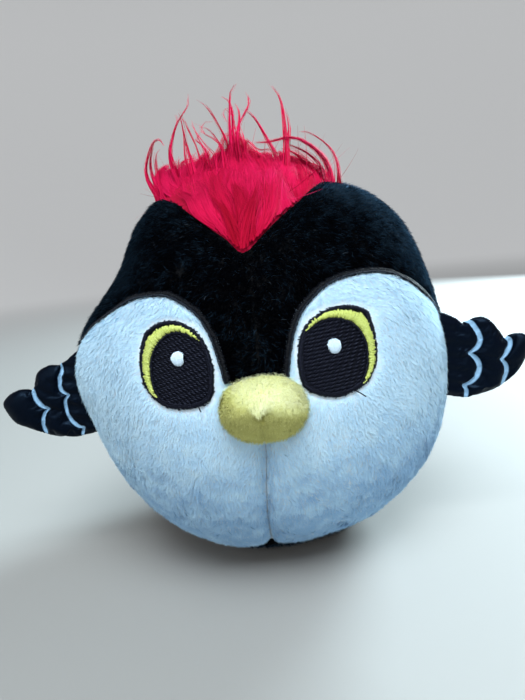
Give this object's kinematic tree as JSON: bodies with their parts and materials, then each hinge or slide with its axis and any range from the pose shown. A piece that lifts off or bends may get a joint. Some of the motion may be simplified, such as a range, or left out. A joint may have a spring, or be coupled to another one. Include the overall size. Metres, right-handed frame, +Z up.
{
  "type": "plush penguin",
  "caption": "Round stuffed plush penguin with a white two lobed face, stitched eyes, a soft beak, small side wings and a red tuft of long pile on its crown.",
  "frame": {"origin": "centre of the flattened patch of the base that the toy rests on", "axes": "+Z up through the crown, -Y the way the beak points, +X towards the toy's left wing, which is on the viewer's right"},
  "size_m": [0.211, 0.172, 0.173],
  "materials": {
    "stuffing": "matte",
    "plush_white": "matte",
    "plush_black": "matte",
    "plush_yellow": "matte",
    "satin_black": "satin",
    "thread_black": "satin",
    "thread_white": "satin",
    "thread_yellow": "satin",
    "wing_satin": "satin",
    "knit_red": "matte",
    "pile_red": "satin"
  },
  "bodies": {
    "ball": {"stuffing_core": "stuffing", "beak_stuffing": "stuffing", "face_panel_left": "plush_white", "face_panel_right": "plush_white", "face_seam_thread": "thread_white", "forehead_panel": "plush_black", "back_panel_left": "plush_black", "back_panel_right": "plush_black", "base_panel": "plush_black", "back_seam_thread": "thread_black", "brow_trim_left": "satin_black", "brow_trim_right": "satin_black", "crest_backing": "knit_red", "beak_upper_panel": "plush_yellow", "beak_lower_left": "plush_yellow", "beak_lower_right": "plush_yellow", "eye_outline_left": "thread_black", "eye_pupil_left": "thread_black", "eye_crescent_left": "thread_yellow", "eye_highlight_left": "thread_white", "eye_outline_right": "thread_black", "eye_pupil_right": "thread_black", "eye_crescent_right": "thread_yellow", "eye_highlight_right": "thread_white"},
    "crest": {"crest_pile": "pile_red"},
    "wing_left": {"wing_left_front": "wing_satin", "wing_left_back": "wing_satin", "wing_left_filling": "stuffing"},
    "wing_right": {"wing_right_front": "wing_satin", "wing_right_back": "wing_satin", "wing_right_filling": "stuffing"}
  },
  "joints": [
    {"name": "wing_left_flap", "type": "hinge", "parent": "ball", "child": "wing_left", "pos_m": [-0.0781, -0.028, 0.074], "axis": [0, 0, 1], "range_deg": [-40, 70], "stiffness_Nm_per_rad": 0.007},
    {"name": "wing_right_flap", "type": "hinge", "parent": "ball", "child": "wing_right", "pos_m": [0.0781, -0.028, 0.074], "axis": [0, 0, -1], "range_deg": [-40, 70], "stiffness_Nm_per_rad": 0.007},
    {"name": "crest_sweep", "type": "hinge", "parent": "ball", "child": "crest", "pos_m": [0, 0, 0.076], "axis": [1, 0, 0], "range_deg": [-10, 10], "stiffness_Nm_per_rad": 0.05}
  ]
}
